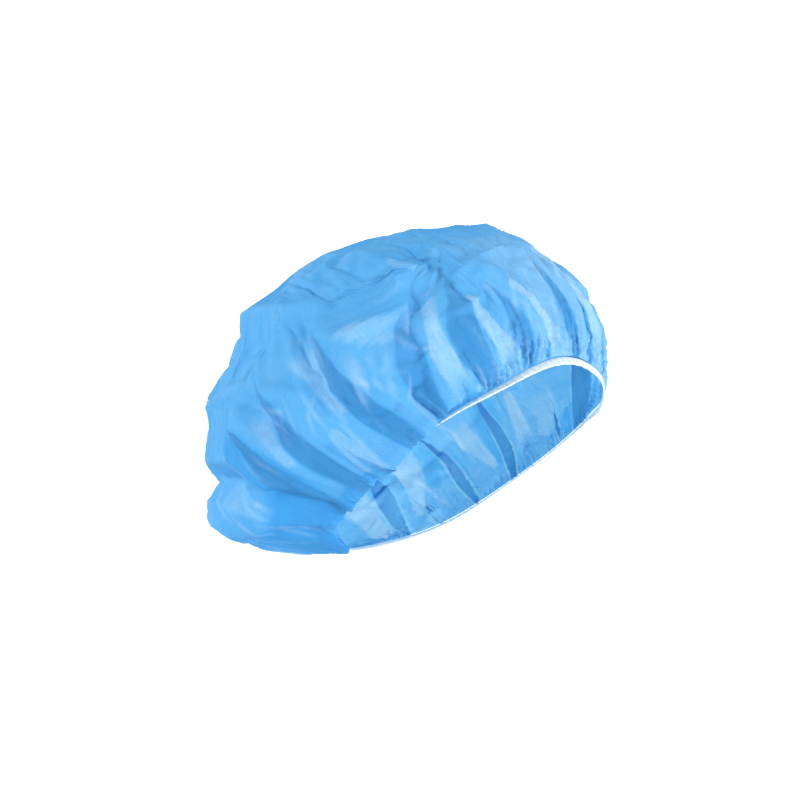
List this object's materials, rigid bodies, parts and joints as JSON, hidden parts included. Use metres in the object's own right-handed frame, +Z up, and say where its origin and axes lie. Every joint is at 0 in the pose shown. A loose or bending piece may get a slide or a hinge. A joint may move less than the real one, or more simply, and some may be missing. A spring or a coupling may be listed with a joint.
{
  "type": "disposable hairnet",
  "caption": "Bouffant cap of thin blue nonwoven cloth, gathered on a white elastic band round a slanted head opening, with a slack pouch at the nape.",
  "frame": {"origin": "middle of the head opening, half way between the band's forehead and nape points", "axes": "+Z up as worn, +X to the forehead, +Y to the wearer's left"},
  "size_m": [0.2585, 0.2176, 0.2204],
  "materials": {
    "nonwoven_cloth": "matte",
    "white_elastic": "matte"
  },
  "bodies": {
    "root": {"crown": "nonwoven_cloth", "elastic_band": "white_elastic"}
  },
  "joints": []
}
